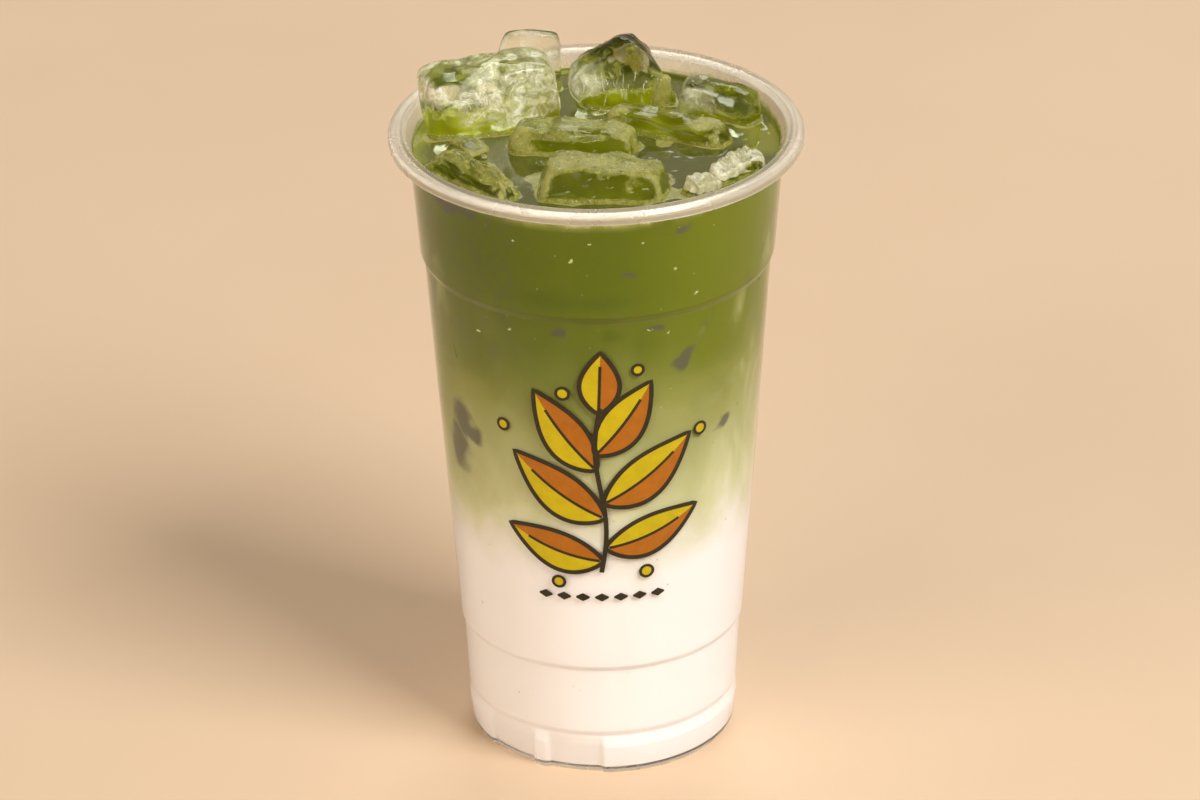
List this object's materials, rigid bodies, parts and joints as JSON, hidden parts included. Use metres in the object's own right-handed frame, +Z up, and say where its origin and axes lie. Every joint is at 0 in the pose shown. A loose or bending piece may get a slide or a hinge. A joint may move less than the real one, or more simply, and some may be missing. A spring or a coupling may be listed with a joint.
{
  "type": "iced matcha latte in a clear cup",
  "caption": "Tall clear tapered cup with a flanged rim, a wide upper band and a stacking foot, holding white milk, green tea above it and melting ice that stands out of the top.",
  "frame": {"origin": "centre of the foot ring on the surface the cup stands on", "axes": "+Z up along the cup's axis, -Y towards the printed front of the cup, +X to the right seen from the front"},
  "size_m": [0.095, 0.095, 0.1636],
  "materials": {
    "clear_plastic": "clear formed plastic, faintly frosted at the rim",
    "milk_white": "liquid, opaque warm white",
    "matcha_green": "liquid, cloudy green tea",
    "ice_clear": "wet clear ice with cloudy cores and foam on its upper edges"
  },
  "bodies": {
    "root": {"cup": "clear_plastic", "milk": "milk_white", "matcha": "matcha_green", "ice_back_left": "ice_clear", "ice_far_back": "ice_clear", "ice_peak": "ice_clear", "ice_right_back": "ice_clear", "ice_low_right": "ice_clear", "ice_horn": "ice_clear", "ice_middle": "ice_clear", "ice_front": "ice_clear", "ice_left_front": "ice_clear", "ice_left_small": "ice_clear", "ice_right_front": "ice_clear", "ice_ribbed_chip": "ice_clear"}
  },
  "joints": []
}
